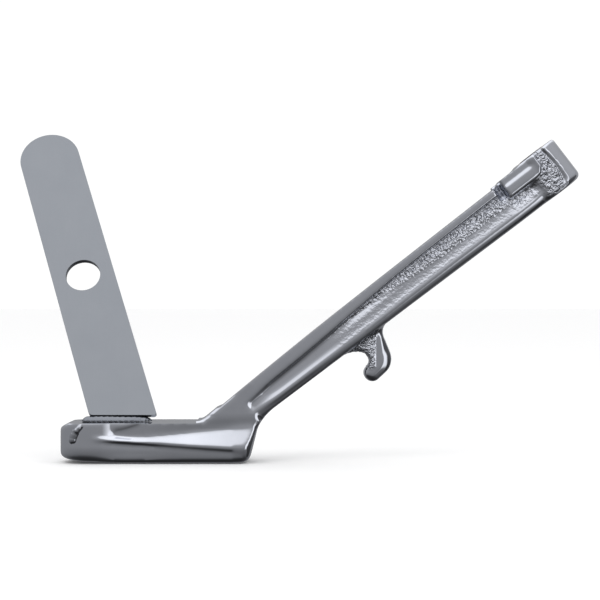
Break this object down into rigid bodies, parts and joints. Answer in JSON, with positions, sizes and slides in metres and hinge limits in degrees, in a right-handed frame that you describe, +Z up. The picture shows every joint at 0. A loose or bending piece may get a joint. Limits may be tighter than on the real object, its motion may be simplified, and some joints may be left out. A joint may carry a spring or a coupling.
{
  "type": "motorcycle side stand leg",
  "caption": "Chromed motorcycle side stand: foot bar, channelled arm with spring hook and lock notch, flat kick tab, and a bushed barrel that swings on a clamped sleeve.",
  "frame": {"origin": "centre of the pivot, on the hinge axis, half way along the pivot barrel", "axes": "+Z up with the stand deployed on the ground, +Y the motorcycle's forward direction, +X from the foot towards the motorcycle"},
  "size_m": [0.3023, 0.0982, 0.1779],
  "materials": {
    "polished_chrome": "polished plating over a casting, as-cast texture left in the hollows",
    "satin_chrome": "satin plating on flat bar",
    "weld_chrome": "plated weld, softly rippled",
    "bush_bronze": "turned bronze",
    "sleeve_steel": "ground steel"
  },
  "bodies": {
    "mounting": {"pivot_sleeve": "sleeve_steel"},
    "leg": {"leg": "polished_chrome", "kick_tab": "satin_chrome", "weld_bead": "weld_chrome", "weld_run_off": "weld_chrome", "bush_upper": "bush_bronze", "bush_lower": "bush_bronze"}
  },
  "joints": [
    {"name": "leg_swing", "type": "hinge", "parent": "mounting", "child": "leg", "pos_m": [0, 0, 0], "axis": [-0.6101, 0, 0.7923], "range_deg": [0, 98]}
  ]
}
